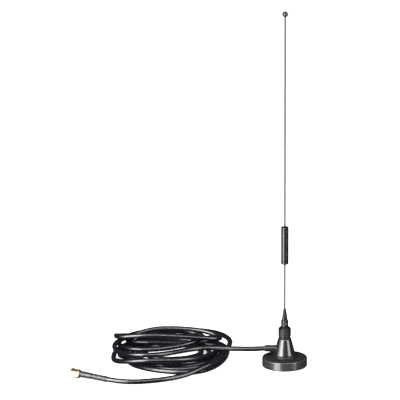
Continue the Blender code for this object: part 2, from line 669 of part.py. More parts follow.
def build_plug():
    axis = bpy.data.objects.new("plug_axis", None)
    ANTENNA.objects.link(axis)
    axis.matrix_world = plug_frame()
    pieces = []

    nut = hexagon("coupling_nut", NUT_FLATS, -NUT_LENGTH, 0, "gold")
    corner = NUT_FLATS / math.sqrt(3)
    flat = NUT_FLATS / 2
    envelope = lathe("nut_chamfers", [(0, 0.0), (flat - 0.00005, 0.0), (corner + 0.0003, -0.0007),
                                      (corner + 0.0003, -NUT_LENGTH + 0.0007),
                                      (flat - 0.00005, -NUT_LENGTH), (0, -NUT_LENGTH)],
                     None, 24, collection=CUTTERS)
    bore = lathe("nut_bores", [(0, 0.001), (NUT_THREAD_R, 0.001),
                               (NUT_THREAD_R, -NUT_THREAD_DEPTH), (NUT_LIP_R, -NUT_THREAD_DEPTH),
                               (NUT_LIP_R, -NUT_LENGTH - 0.001), (0, -NUT_LENGTH - 0.001)],
                 None, 24, collection=CUTTERS)
    combine(nut, envelope, "INTERSECT")
    combine(nut, bore, "DIFFERENCE")
    pieces += [nut, envelope, bore]

    profile = [(0.00208, -0.0015), (0.0023, -0.0015), (0.0023, -0.0039), (0.0030, -0.0039),
               (0.0030, -0.0049), (0.00225, -0.0049), (0.00225, -0.0099), (0.00265, -0.0099),
               (0.00265, -0.0110), (0.00185, -0.0110), (0.00185, -0.0175), (0.00155, -0.0175),
               (0.00155, -0.0096), (0.00208, -0.0096)]
    pieces.append(lathe("plug_body", profile, "gold", 20, closed=True))

    ring = tube("retaining_ring", 0.0031, 0.0024, -0.0057, -0.0052, "brass", 20)
    slit = block("ring_slit", (0.002, -0.0003, -0.007), (0.004, 0.0003, -0.004), None, CUTTERS)
    combine(ring, slit, "DIFFERENCE")
    pieces += [ring, slit]
    pieces.append(tube("plug_gasket", 0.0031, 0.0025, -0.0037, -0.0031, "silicone", 20))
    pieces.append(tube("plug_dielectric", 0.0019, 0.0006, -0.0093, -0.0020, "ptfe", 20))

    profile = [(0, -0.0009), (0.0003, -0.0009), (0.00045, -0.0012), (0.00045, -0.0096),
               (0.00095, -0.0096), (0.00095, -0.0122), (0.0006, -0.0122), (0.0006, -0.0103),
               (0, -0.0103)]
    pieces.append(lathe("centre_pin", profile, "gold", 12))

    pieces.append(tube("crimp_sleeve", 0.00265, 0.00235, -0.0188, -0.0113, "gold", 20))
    pieces.append(tube("braid_plug", 0.0022, 0.00195, -0.0188, -0.0120, "tinned", 20))
    inside = -PLUG_JACKET_S - JACKET_BORE_DEPTH + CLEAR
    pieces.append(tube("insulation_plug", CORE_R, CORE_BORE_R, inside, -0.0126, "nylon", 16))
    pieces.append(rod("conductor_plug", WIRE_CORE_R, inside, -0.0106, "copper", 10))

    for name, span, outer, inner in (("heatshrink_short", SHRINK_SHORT, 0.00315, 0.0028),
                                     ("heatshrink_long", SHRINK_LONG, 0.00290, 0.0026)):
        soft = round_off(outer - 0.0002, -span[0] - 0.0002, 0.0002, 90, 0, 1)
        tail = round_off(outer - 0.0002, -span[1] + 0.0002, 0.0002, 0, -90, 1)
        profile = [(inner, -span[0]), *soft, *tail, (inner, -span[1])]
        pieces.append(lathe(name, profile, "shrink", 24, closed=True))

    for obj in pieces:
        obj.parent = axis


build_base()
build_screws()
build_cone()
build_feed()
build_cable_entry()
build_collar()
build_ferrule()
build_coil()
build_cable()
build_plug()
bpy.context.view_layer.update()
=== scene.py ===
"""Looks of a magnetic-mount whip antenna with a hank of coaxial cable and a gold plug.

Row frame: metres, +Z up, origin under the middle of the foot, whip on +Z, cable towards -X.
"""
import json
import math

import bmesh
import bpy
import numpy as np
from mathutils import Matrix, Vector


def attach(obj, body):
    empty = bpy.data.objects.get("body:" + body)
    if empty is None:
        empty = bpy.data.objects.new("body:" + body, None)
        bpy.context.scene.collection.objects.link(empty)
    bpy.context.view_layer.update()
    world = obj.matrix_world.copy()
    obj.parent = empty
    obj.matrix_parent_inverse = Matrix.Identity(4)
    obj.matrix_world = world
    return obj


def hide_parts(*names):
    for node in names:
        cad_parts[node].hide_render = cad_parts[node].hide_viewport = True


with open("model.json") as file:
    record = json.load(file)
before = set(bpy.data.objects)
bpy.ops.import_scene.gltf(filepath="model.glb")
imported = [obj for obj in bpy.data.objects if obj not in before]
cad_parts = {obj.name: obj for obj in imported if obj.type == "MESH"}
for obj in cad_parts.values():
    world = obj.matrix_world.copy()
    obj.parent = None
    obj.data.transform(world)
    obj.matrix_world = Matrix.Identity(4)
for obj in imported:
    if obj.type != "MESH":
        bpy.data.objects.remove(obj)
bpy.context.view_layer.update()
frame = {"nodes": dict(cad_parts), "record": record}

MM = 0.001


# ---------------------------------------------------------------- shader nodes
class Look:
    """A material being built: adds shader nodes and links them."""

    def __init__(self, name):
        self.material = bpy.data.materials.new(name)
        self.material.use_nodes = True
        self.tree = self.material.node_tree
        self.shader = self.tree.nodes["Principled BSDF"]

    def node(self, kind, **settings):
        made = self.tree.nodes.new("ShaderNode" + kind)
        for key, value in settings.items():
            setattr(made, key, value)
        return made

    def wire(self, target, value):
        if hasattr(value, "is_output"):
            self.tree.links.new(value, target)
        else:
            target.default_value = value

    def place(self, stretch, source="Object"):
        """Texture place, stretched so that detail runs along an axis."""
        coordinate = self.node("TexCoord").outputs[source]
        mapping = self.node("Mapping")
        self.wire(mapping.inputs["Vector"], coordinate)
        mapping.inputs["Scale"].default_value = stretch
        return mapping.outputs["Vector"]

    def noise(self, scale, detail=3.0, rough=0.55, stretch=(1, 1, 1), source="Object"):
        texture = self.node("TexNoise")
        self.wire(texture.inputs["Vector"], self.place(stretch, source))
        texture.inputs["Scale"].default_value = scale
        texture.inputs["Detail"].default_value = detail
        texture.inputs["Roughness"].default_value = rough
        return texture.outputs["Fac"]

    def span(self, value, low, high, out_low, out_high):
        """Map a value range to another, clamped."""
        made = self.node("MapRange")
        self.wire(made.inputs["Value"], value)
        for key, number in (("From Min", low), ("From Max", high),
                            ("To Min", out_low), ("To Max", out_high)):
            made.inputs[key].default_value = number
        return made.outputs["Result"]

    def maths(self, operation, first, second):
        made = self.node("Math", operation=operation, use_clamp=True)
        self.wire(made.inputs[0], first)
        self.wire(made.inputs[1], second)
        return made.outputs[0]

    def mix(self, share, first, second):
        made = self.node("Mix", data_type="RGBA")
        self.wire(made.inputs["Factor"], share)
        for socket, value in ((made.inputs[6], first), (made.inputs[7], second)):
            self.wire(socket, (*value, 1.0) if isinstance(value, tuple) else value)
        return made.outputs[2]

    def blend(self, share, first, second):
        made = self.node("Mix", data_type="FLOAT")
        self.wire(made.inputs["Factor"], share)
        self.wire(made.inputs[2], first)
        self.wire(made.inputs[3], second)
        return made.outputs[0]

    def bump(self, height, depth, under=None):
        made = self.node("Bump")
        self.wire(made.inputs["Height"], height)
        made.inputs["Distance"].default_value = depth
        if under is not None:
            self.wire(made.inputs["Normal"], under)
        return made.outputs["Normal"]


# Ranges of a noise or of a face's own value between which one finish gives way to another.
TONE_BAND = (0.32, 0.68)
GLOSS_BAND = (0.3, 0.7)
MARK_BAND = (0.56, 0.74)
LEVEL_BAND = (0.85, 0.97)       # upward part of the normal, for level faces
PEBBLE_BAND = (0.40, 0.66)
EDGE_BAND = (0.515, 0.60)       # pointiness, for outer edges
WORN_BAND = (0.38, 0.62)
UPWARD_BAND = (0.2, 1.0)        # upward part of the normal, where dust lies
CLOUD_BAND = (0.45, 0.75)
FLECK_FADE = 0.05
PEBBLE_SCALE = 1300.0
WORN_SCALE = 900.0
CLOUD_SCALE = 220.0
PLAIN_SPECULAR = 0.5
LEVEL_SPECULAR = 0.10
DUST_ROUGHNESS = 0.8
COAT_SHARE = 0.85               # of the finish's lowest roughness


def surface(name, dark, light, rough, patch=60.0, metallic=0.0, grain=(1500.0, 6e-6),
            lines=None, wear=None, dust=None, coat=0.0, speck=None, source="Object", top=None):
    """One finished surface.

    dark, light: colour range; rough: roughness range; patch: scale of the broad variation.
    grain: (scale, depth) of the fine relief; lines: (stretch, scale, depth, share) of marks that
    run one way; wear: (colour, roughness, share) on outer edges; dust: (colour, share) on faces
    that look up; speck: (scale, threshold, colour) of small flecks; top: (dark, light, roughness)
    of the faces that look straight up, where edges stay unworn and there is no coat.
    """
    look = Look(name)
    broad = look.noise(patch, 4.0, 0.6, source=source)
    fine = look.noise(patch * 9.0, 3.0, 0.6, source=source)
    colour = look.mix(look.span(broad, *TONE_BAND, 0.0, 1.0), dark, light)
    gloss = look.span(fine, *GLOSS_BAND, *rough)
    relief = look.bump(look.noise(grain[0], 3.0, 0.6), grain[1])
    if lines is not None:
        stretch, scale, depth, share = lines
        streak = look.noise(scale, 4.0, 0.65, stretch=stretch, source=source)
        marks = look.span(streak, *MARK_BAND, 0.0, share)
        colour = look.mix(marks, colour, tuple(min(1.0, 2.2 * c + 0.015) for c in light))
        gloss = look.blend(marks, gloss, min(1.0, rough[1] + 0.2))
        relief = look.bump(streak, depth, under=relief)
    if top is not None:
        level = look.node("SeparateXYZ")
        look.wire(level.inputs[0], look.node("NewGeometry").outputs["Normal"])
        flat = look.span(level.outputs["Z"], *LEVEL_BAND, 0.0, 1.0)
        pebble = look.span(look.noise(PEBBLE_SCALE, 3.0, 0.7), *PEBBLE_BAND, 0.0, 1.0)
        colour = look.mix(flat, colour, look.mix(pebble, top[0], top[1]))
        gloss = look.blend(flat, gloss, top[2])
        look.wire(look.shader.inputs["Specular IOR Level"],
                  look.blend(flat, PLAIN_SPECULAR, LEVEL_SPECULAR))
    if speck is not None:
        scale, threshold, tint = speck
        fleck = look.span(look.noise(scale, 1.0, 0.5), threshold, threshold + FLECK_FADE, 0.0, 1.0)
        colour = look.mix(fleck, colour, tint)
    if wear is not None:
        tint, worn_rough, share = wear
        pointed = look.node("NewGeometry").outputs["Pointiness"]
        convex = look.span(pointed, *EDGE_BAND, 0.0, 1.0)
        if top is not None:
            convex = look.blend(flat, convex, 0.0)
        broken = look.span(look.noise(WORN_SCALE, 4.0, 0.7), *WORN_BAND, 0.0, share)
        worn = look.maths("MULTIPLY", convex, broken)
        colour = look.mix(worn, colour, tint)
        gloss = look.blend(worn, gloss, worn_rough)
    if dust is not None:
        tint, share = dust
        split = look.node("SeparateXYZ")
        look.wire(split.inputs[0], look.node("NewGeometry").outputs["Normal"])
        upward = look.span(split.outputs["Z"], *UPWARD_BAND, 0.0, 1.0)
        cloud = look.span(look.noise(CLOUD_SCALE, 6.0, 0.75), *CLOUD_BAND, 0.0, share)
        lying = look.maths("MULTIPLY", upward, cloud)
        colour = look.mix(lying, colour, tint)
        gloss = look.blend(lying, gloss, DUST_ROUGHNESS)
    look.wire(look.shader.inputs["Base Color"], colour)
    look.wire(look.shader.inputs["Roughness"], gloss)
    look.wire(look.shader.inputs["Normal"], relief)
    look.shader.inputs["Metallic"].default_value = metallic
    if top is not None:
        coat = look.blend(flat, coat, 0.0)
    look.wire(look.shader.inputs["Coat Weight"], coat)
    look.shader.inputs["Coat Roughness"].default_value = COAT_SHARE * rough[0]
    return look.material


GREY_DUST = (0.30, 0.29, 0.27)
TURNED = (1.0, 1.0, 60.0)       # marks that run round a piece turned about Z
DRAWN = (60.0, 60.0, 1.0)       # marks that run along Z
ALONG = (0.1, 10.0, 1.0)        # marks that run along the cable, in its own coordinates

LOOKS = {
    "puck_paint": surface("puck_paint", (0.010, 0.010, 0.011), (0.022, 0.022, 0.024),
                          (0.22, 0.32), 45, 0.0, (2600, 6e-6), (DRAWN, 22, 2e-6, 0.16),
                          ((0.24, 0.24, 0.25), 0.3, 0.7), (GREY_DUST, 0.04), 0.35,
                          (5200, 0.64, (0.10, 0.10, 0.11)), "Object",
                          ((0.003, 0.003, 0.002), (0.024, 0.024, 0.021), 0.62)),
    "ring_plastic": surface("ring_plastic", (0.004, 0.004, 0.005), (0.010, 0.010, 0.012),
                            (0.30, 0.45), 90, 0.0, (2200, 5e-6), (TURNED, 30, 1e-6, 0.10),
                            ((0.08, 0.08, 0.085), 0.4, 0.5), (GREY_DUST, 0.12)),
    "cone_plastic": surface("cone_plastic", (0.004, 0.004, 0.005), (0.010, 0.010, 0.011),
                            (0.22, 0.28), 70, 0.0, (900, 2e-6), (DRAWN, 26, 1.2e-6, 0.12),
                            ((0.08, 0.08, 0.085), 0.3, 0.5), (GREY_DUST, 0.03), 1.0),
    "boot_rubber": surface("boot_rubber", (0.005, 0.005, 0.006), (0.012, 0.012, 0.014),
                           (0.24, 0.34), 120, 0.0, (2400, 4e-6), (DRAWN, 40, 1e-6, 0.10),
                           ((0.09, 0.09, 0.09), 0.6, 0.4), (GREY_DUST, 0.03)),
    "seal_rubber": surface("seal_rubber", (0.010, 0.010, 0.011), (0.022, 0.022, 0.023),
                           (0.45, 0.62), 150, 0.0, (2400, 7e-6), None, None, (GREY_DUST, 0.12)),
    "foot_rubber": surface("foot_rubber", (0.012, 0.012, 0.012), (0.030, 0.029, 0.028),
                           (0.62, 0.82), 60, 0.0, (1700, 2.2e-5), (DRAWN, 18, 4e-6, 0.25),
                           ((0.12, 0.115, 0.11), 0.8, 0.6)),
    "black_chrome": surface("black_chrome", (0.018, 0.018, 0.020), (0.038, 0.038, 0.042),
                            (0.24, 0.38), 110, 0.85, (1800, 2e-6), (TURNED, 24, 2.5e-6, 0.30),
                            ((0.30, 0.30, 0.29), 0.3, 0.5), (GREY_DUST, 0.05)),
    "ferrule_chrome": surface("ferrule_chrome", (0.014, 0.014, 0.016), (0.030, 0.030, 0.034),
                              (0.20, 0.32), 130, 0.85, (1800, 1.5e-6), (TURNED, 30, 2e-6, 0.25),
                              ((0.45, 0.44, 0.42), 0.25, 0.7), (GREY_DUST, 0.04)),
    "black_steel": surface("black_steel", (0.007, 0.007, 0.008), (0.020, 0.020, 0.023),
                           (0.26, 0.40), 80, 0.20, (1800, 3e-6), (DRAWN, 30, 2e-6, 0.25),
                           ((0.30, 0.30, 0.30), 0.3, 0.5)),
    "coil_plastic": surface("coil_plastic", (0.002, 0.002, 0.003), (0.006, 0.006, 0.008),
                            (0.16, 0.24), 90, 0.0, (1200, 3e-6), (DRAWN, 36, 1.5e-6, 0.12),
                            ((0.08, 0.08, 0.085), 0.3, 0.3), None, 0.05),
    "tip_plastic": surface("tip_plastic", (0.008, 0.008, 0.009), (0.020, 0.020, 0.022),
                           (0.16, 0.28), 200, 0.0, (1600, 3e-6), None,
                           ((0.10, 0.10, 0.10), 0.4, 0.5), (GREY_DUST, 0.05), 0.3),
    "cable_pvc": surface("cable_pvc", (0.0018, 0.0021, 0.0034), (0.0052, 0.0058, 0.0086),
                         (0.20, 0.30), 30, 0.0, (2000, 4e-6), (ALONG, 500, 3e-6, 0.10),
                         None, (GREY_DUST, 0.02), 0.5, None, "UV"),
    "heatshrink": surface("heatshrink", (0.012, 0.012, 0.014), (0.024, 0.024, 0.027),
                          (0.22, 0.30), 160, 0.0, (1500, 6e-6), (DRAWN, 40, 3e-6, 0.16),
                          ((0.13, 0.13, 0.13), 0.5, 0.5), (GREY_DUST, 0.03)),
    "nut_gold": surface("nut_gold", (0.80, 0.62, 0.26), (0.94, 0.80, 0.46), (0.27, 0.30),
                        150, 1.0, (900, 2e-7)),
    "plug_gold": surface("plug_gold", (0.82, 0.62, 0.28), (0.96, 0.80, 0.46), (0.18, 0.30),
                         190, 1.0, (2200, 1.5e-6), (TURNED, 60, 2e-6, 0.20),
                         ((0.98, 0.88, 0.62), 0.2, 0.7)),
    "ptfe": surface("ptfe", (0.72, 0.71, 0.67), (0.86, 0.85, 0.81), (0.40, 0.55), 240, 0.0,
                    (2600, 4e-6), (TURNED, 50, 2e-6, 0.10)),
    "gasket_silicone": surface("gasket_silicone", (0.30, 0.05, 0.035), (0.46, 0.10, 0.07),
                               (0.5, 0.65), 260, 0.0, (2600, 5e-6)),
    "ferrite": surface("ferrite", (0.030, 0.030, 0.034), (0.070, 0.068, 0.070), (0.5, 0.7),
                       70, 0.1, (1400, 2e-5), (DRAWN, 20, 4e-6, 0.2)),
    "plated_steel": surface("plated_steel", (0.42, 0.43, 0.46), (0.60, 0.61, 0.62),
                            (0.26, 0.42), 80, 1.0, (1500, 4e-6), (DRAWN, 30, 2e-6, 0.2)),
    "screw_steel": surface("screw_steel", (0.40, 0.41, 0.43), (0.62, 0.62, 0.62),
                           (0.24, 0.40), 240, 1.0, (1800, 3e-6), (TURNED, 40, 2e-6, 0.2)),
    "stud_brass": surface("stud_brass", (0.52, 0.36, 0.13), (0.74, 0.55, 0.26), (0.22, 0.38),
                          160, 1.0, (1800, 3e-6), (TURNED, 50, 3e-6, 0.2)),
    "spring_steel": surface("spring_steel", (0.36, 0.36, 0.38), (0.54, 0.54, 0.55),
                            (0.30, 0.45), 200, 1.0, (1800, 3e-6), (TURNED, 40, 2e-6, 0.2)),
    "tinned_copper": surface("tinned_copper", (0.48, 0.48, 0.49), (0.68, 0.68, 0.68),
                             (0.30, 0.46), 260, 1.0, (2400, 5e-6), (DRAWN, 60, 5e-6, 0.3)),
    "crimp_steel": surface("crimp_steel", (0.42, 0.43, 0.44), (0.60, 0.60, 0.61),
                           (0.28, 0.42), 220, 1.0, (1800, 3e-6), (TURNED, 40, 2e-6, 0.2)),
    "cable_insulation": surface("cable_insulation", (0.66, 0.65, 0.60), (0.80, 0.79, 0.74),
                                (0.38, 0.5), 260, 0.0, (2000, 4e-6)),
    "bare_copper": surface("bare_copper", (0.52, 0.22, 0.11), (0.78, 0.42, 0.26), (0.22, 0.38),
                           260, 1.0, (2000, 3e-6), (DRAWN, 60, 3e-6, 0.2)),
    "coil_copper": surface("coil_copper", (0.50, 0.20, 0.09), (0.72, 0.34, 0.18), (0.18, 0.3),
                           200, 1.0, (2000, 2e-6), None, None, None, 0.4),
    "former_nylon": surface("former_nylon", (0.64, 0.62, 0.55), (0.78, 0.76, 0.70),
                            (0.42, 0.55), 200, 0.0, (1800, 4e-6), (TURNED, 40, 2e-6, 0.1)),
    "ring_bronze": surface("ring_bronze", (0.44, 0.28, 0.12), (0.66, 0.46, 0.22), (0.26, 0.4),
                           260, 1.0, (2000, 3e-6), (TURNED, 50, 2e-6, 0.2)),
}

# Every CAD node starts with the procedural look of its own slot.
SLOT_OF = {row["node"]: row["material_slot"] for row in frame["record"]["subparts"]}
for node_name, node in frame["nodes"].items():
    node.data.materials.clear()
    node.data.materials.append(LOOKS[SLOT_OF[node_name]])


# ---------------------------------------------------------------- mesh helpers
ARC_STEPS = 5
REACH = 0.45            # most of an edge that a soft corner may take
GUARD = 0.12            # distance of the point that keeps the straight part straight
WELD = 1e-7
SHARP_ANGLE = math.radians(35.0)


def rounded(corners, closed=True):
    """(r, z, setback) corners in mm to profile points in metres, with soft corners."""
    points = []
    count = len(corners)
    for i, (r, z, setback) in enumerate(corners):
        here = np.array((r, z), float)
        if setback <= 0 or (not closed and i in (0, count - 1)):
            points.append(here)
            continue
        before = np.array(corners[i - 1][:2], float)
        after = np.array(corners[(i + 1) % count][:2], float)
        into, out = before - here, after - here
        reach_in = min(setback, REACH * np.linalg.norm(into))
        reach_out = min(setback, REACH * np.linalg.norm(out))
        start = here + into / np.linalg.norm(into) * reach_in
        stop = here + out / np.linalg.norm(out) * reach_out
        points.append(start + (start - here) * GUARD)
        for k in range(ARC_STEPS + 1):
            t = k / ARC_STEPS
            points.append((1 - t) ** 2 * start + 2 * t * (1 - t) * here + t * t * stop)
        points.append(stop + (stop - here) * GUARD)
    return [(p[0] * MM, p[1] * MM) for p in points]


def densify(profile, low, high, step):
    """Add rows to the part of a profile between two heights."""
    rows = []
    for i, here in enumerate(profile):
        rows.append(here)
        after = profile[(i + 1) % len(profile)]
        inside = min(here[1], after[1]) < high and max(here[1], after[1]) > low
        steep = abs(after[0] - here[0]) < 0.3 * abs(after[1] - here[1])
        count = int(abs(after[1] - here[1]) / step) if inside and steep else 0
        for k in range(1, count):
            t = k / count
            rows.append((here[0] + (after[0] - here[0]) * t, here[1] + (after[1] - here[1]) * t))
    return rows


def settle_in(obj, look, body, stands_for):
    """Smooth, colour and attach a finished piece."""
    obj.data.materials.clear()
    obj.data.materials.append(LOOKS[look])
    obj.data.shade_smooth()
    obj.data.set_sharp_from_angle(angle=SHARP_ANGLE)
    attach(obj, body)
    if stands_for:
        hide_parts(*stands_for)
    return obj


def spun(name, profile, steps, look, body, stands_for, closed=True, shape=None, place=None,
         cuts=()):
    """Turned piece from an (r, z) profile that runs down the outer side.

    shape(angle, r, z, row) may move the points, for knurls, threads, flats and wrinkles.
    """
    rows = np.array(profile, float)
    count = len(rows)
    angle = np.arange(steps)[None, :] * math.tau / steps
    r = np.repeat(rows[:, :1], steps, axis=1)
    z = np.repeat(rows[:, 1:], steps, axis=1)
    if shape is not None:
        r, z = shape(angle, r, z, np.arange(count)[:, None])
    verts = np.stack([r * np.cos(angle), r * np.sin(angle), z + 0 * angle], axis=2)
    faces = []
    for i in range(count if closed else count - 1):
        a, b = i * steps, (i + 1) % count * steps
        for j in range(steps):
            k = (j + 1) % steps
            faces.append((a + j, b + j, b + k, a + k))
    mesh = bpy.data.meshes.new(name)
    mesh.from_pydata(verts.reshape(-1, 3).tolist(), [], faces)
    shaped = bmesh.new()
    shaped.from_mesh(mesh)
    bmesh.ops.remove_doubles(shaped, verts=shaped.verts, dist=WELD)
    bmesh.ops.dissolve_degenerate(shaped, edges=shaped.edges, dist=WELD)
    shaped.to_mesh(mesh)
    shaped.free()
    obj = bpy.data.objects.new(name, mesh)
    bpy.context.scene.collection.objects.link(obj)
    if cuts:
        carve(obj, cuts)
    if place is not None:
        obj.matrix_world = place
    return settle_in(obj, look, body, stands_for)


CUT_SIDES = 64


def carve(obj, cuts):
    """Cut round holes, each (radius, low, high, matrix), and keep the result as the mesh."""
    cutters = []
    for radius, low, high, matrix in cuts:
        mesh = bpy.data.meshes.new("cut")
        tool = bmesh.new()
        bmesh.ops.create_cone(tool, cap_ends=True, segments=CUT_SIDES, radius1=radius,
                              radius2=radius, depth=high - low)
        bmesh.ops.translate(tool, verts=tool.verts, vec=(0, 0, (low + high) / 2))
        tool.to_mesh(mesh)
        tool.free()
        cutter = bpy.data.objects.new("cut", mesh)
        bpy.context.scene.collection.objects.link(cutter)
        cutter.matrix_world = matrix
        cutters.append(cutter)
        step = obj.modifiers.new("hole", "BOOLEAN")
        step.object = cutter
        step.operation = "DIFFERENCE"
        step.solver = "EXACT"
    bpy.context.view_layer.update()
    graph = bpy.context.evaluated_depsgraph_get()
    result = bpy.data.meshes.new_from_object(obj.evaluated_get(graph))
    obj.modifiers.clear()
    obj.data = result
    for cutter in cutters:
        bpy.data.objects.remove(cutter, do_unlink=True)


def wave(value):
    """Triangle wave between 0 and 1 with period 1."""
    return np.abs((value % 1.0) * 2.0 - 1.0)


def hex_radius(angle, flats):
    """Radius of a hexagon with a flat on +X."""
    third = math.pi / 3
    return flats / 2 / np.cos((angle + third / 2) % third - third / 2)


# ---------------------------------------------------------------- magnetic foot
spun("puck_cover_shell", rounded([(3.6, 9.0, 0), (22.6, 9.0, 1.05), (22.6, 0.6, 0.3),
                                  (21.3, 0.6, 0.1), (21.3, 7.8, 0.4), (3.6, 7.8, 0)]),
     256, "puck_paint", "base", ["puck_cover"])
spun("foot_ring_tiers", rounded([(3.6, 11.6, 0), (11.4, 11.6, 0.35), (11.4, 10.5, 0.18),
                                 (12.15, 10.5, 0.35), (12.15, 9.1, 0.15), (3.6, 9.1, 0)]),
     160, "ring_plastic", "base", ["foot_ring"])
spun("foot_pad_disc", rounded([(0, 1.0, 0), (20.9, 1.0, 0.1), (20.9, 0.0, 0.3), (18.6, 0.0, 0.1),
                               (18.4, 0.25, 0.1), (17.6, 0.25, 0.1), (17.4, 0.0, 0.1),
                               (11.6, 0.0, 0.1), (11.4, 0.25, 0.1), (10.6, 0.25, 0.1),
                               (10.4, 0.0, 0.1), (0, 0.0, 0)], closed=False),
     128, "foot_rubber", "base", ["foot_pad"], closed=False)

CABLE_Z = 0.0178
CABLE_SIDE = Matrix.Translation((0, 0, CABLE_Z)) @ Matrix.Rotation(math.pi / 2, 4, "Y")
spun("cone_shell", rounded([(3.3, 28.4, 0), (6.6, 28.4, 0.5), (11.0, 11.9, 0.5),
                            (9.2, 11.9, 0), (3.53, 26.4, 0), (3.3, 26.4, 0)]),
     192, "cone_plastic", "base", ["cone_housing"],
     cuts=[(0.00352, -0.014, -0.004, CABLE_SIDE)])
spun("cable_boot_sleeve", rounded([(2.56, -7.6, 0), (3.42, -7.6, 0.1), (3.40, -19.9, 0.75),
                                   (2.56, -19.9, 0.15)]),
     64, "boot_rubber", "base", ["cable_boot"], place=CABLE_SIDE)

# ---------------------------------------------------------------- collar and ferrule
spun("seal_washer_ring", rounded([(4.7, 29.5, 0.2), (6.15, 29.5, 0.3), (6.15, 28.7, 0.3),
                                  (4.7, 28.7, 0.2)]),
     128, "seal_rubber", "seal", ["seal_washer"])

KNURL_LOW = 0.0316
KNURL_HIGH = 0.0384
KNURL_COUNT = 44
KNURL_PITCH = 0.00092
KNURL_DEPTH = 0.00018
KNURL_RUNOUT = 0.0003
KNURL_LAND = 0.35       # share of the pattern left as flat tops
COLLAR_SKIN = 0.0060    # points farther out than this belong to the outer side


def knurl(angle, r, z, row):
    """Diamond knurl between two heights of the outer side."""
    around = angle / math.tau * KNURL_COUNT
    up = z / KNURL_PITCH
    groove = np.maximum(wave(around / 2 + up / 2), wave(around / 2 - up / 2))
    cut = np.clip((groove - KNURL_LAND) / (1 - KNURL_LAND), 0, 1)
    inside = (np.clip((z - KNURL_LOW) / KNURL_RUNOUT, 0, 1)
              * np.clip((KNURL_HIGH - z) / KNURL_RUNOUT, 0, 1))
    outer = (r > COLLAR_SKIN) * 1.0
    return r - KNURL_DEPTH * cut * inside * outer, z


COLLAR = rounded([(2.1, 41.0, 0), (4.0, 41.0, 0.3), (6.1, 39.1, 0.25), (6.35, 38.7, 0.15),
                  (6.35, 31.3, 0.12), (6.0, 31.05, 0.1), (6.0, 30.4, 0.05), (5.8, 30.3, 0.05),
                  (5.8, 30.1, 0.05), (6.0, 30.0, 0.05), (5.9, 29.8, 0.05), (3.25, 29.8, 0),
                  (3.25, 37.0, 0), (2.1, 37.6, 0)])
spun("whip_collar_knurled", densify(COLLAR, KNURL_LOW, KNURL_HIGH, 0.00011), 288,
     "black_chrome", "whip", ["whip_collar"], shape=knurl)

GRUB_Z = 0.0444
FORWARD = Matrix.Translation((0, 0, GRUB_Z)) @ Matrix.Rotation(math.pi / 2, 4, "X")
spun("whip_ferrule_taper", rounded([(1.05, 59.5, 0), (1.35, 59.5, 0.12), (2.9, 47.95, 0.5),
                                    (3.6, 47.3, 0.25), (3.6, 41.3, 0.25), (1.9, 41.3, 0),
                                    (1.9, 38.3, 0), (1.05, 38.3, 0)]),
     128, "ferrule_chrome", "whip", ["whip_ferrule"],
     cuts=[(0.0015, 0.0012, 0.0048, FORWARD)])


SOCKET_FLATS = 0.0015


def socket(angle, r, z, row):
    """Hexagonal socket in the grub screw's face."""
    inner = row <= 1
    return np.where(inner, hex_radius(angle, SOCKET_FLATS), r) * np.where(r < 1e-6, 0, 1), z


spun("grub_screw_socket", [(0.0006, 0.0022), (0.0006, 0.0033), (0.0011, 0.0034),
                           (0.0013, 0.0032), (0.0013, 0.0011), (0, 0.0011)],
     48, "black_steel", "whip", ["grub_screw"], closed=False, shape=socket, place=FORWARD)

# ---------------------------------------------------------------- rods, coil and tip
spun("lower_rod_drawn", rounded([(0, 116.0, 0), (0.85, 116.0, 0.2), (0.85, 43.0, 0.2),
                                 (0, 43.0, 0)], closed=False),
     40, "black_steel", "whip", ["lower_rod"], closed=False)
spun("upper_rod_drawn", rounded([(0, 365.3, 0), (0.72, 365.3, 0.2), (0.80, 250.0, 0),
                                 (0.80, 135.0, 0.2), (0, 135.0, 0)], closed=False),
     40, "black_steel", "whip", ["upper_rod"], closed=False)
spun("coil_cap_low", rounded([(1.05, 111.1, 0), (2.9, 111.1, 0.2), (2.9, 109.35, 0),
                              (3.75, 109.35, 0.15), (3.75, 106.3, 0.6), (1.5, 106.3, 0.15),
                              (1.4, 106.7, 0.1), (1.05, 106.7, 0)]),
     96, "coil_plastic", "whip", ["coil_cap_lower"])
spun("coil_cap_high", rounded([(1.05, 144.5, 0), (1.4, 144.5, 0.1), (1.5, 144.9, 0.15),
                               (3.75, 144.9, 0.6), (3.75, 141.85, 0.15), (2.9, 141.85, 0),
                               (2.9, 140.1, 0.2), (1.05, 140.1, 0)]),
     96, "coil_plastic", "whip", ["coil_cap_upper"])
spun("coil_sleeve_tube", rounded([(3.2, 141.7, 0.1), (3.75, 141.7, 0.18), (3.73, 125.6, 3.0),
                                  (3.75, 109.5, 0.18), (3.2, 109.5, 0.1)]),
     96, "coil_plastic", "whip", ["coil_sleeve"])

BALL_R = 2.8
BALL_Z = 366.2
BALL_ROWS = 24
BALL_SWEEP = 160.0
BALL = [(0.0, BALL_Z + BALL_R)]
for i in range(1, BALL_ROWS + 1):
    turn = math.radians(90 - BALL_SWEEP * i / BALL_ROWS)
    BALL.append((BALL_R * math.cos(turn), BALL_Z + BALL_R * math.sin(turn)))
BALL += [(0.93, BALL_Z - 2.72), (0.88, BALL_Z - 2.5), (0.88, 365.6), (0.0, 365.6)]
spun("tip_ball_bead", [(r * MM, z * MM) for r, z in BALL], 64, "tip_plastic", "whip",
     ["tip_ball"], closed=False)

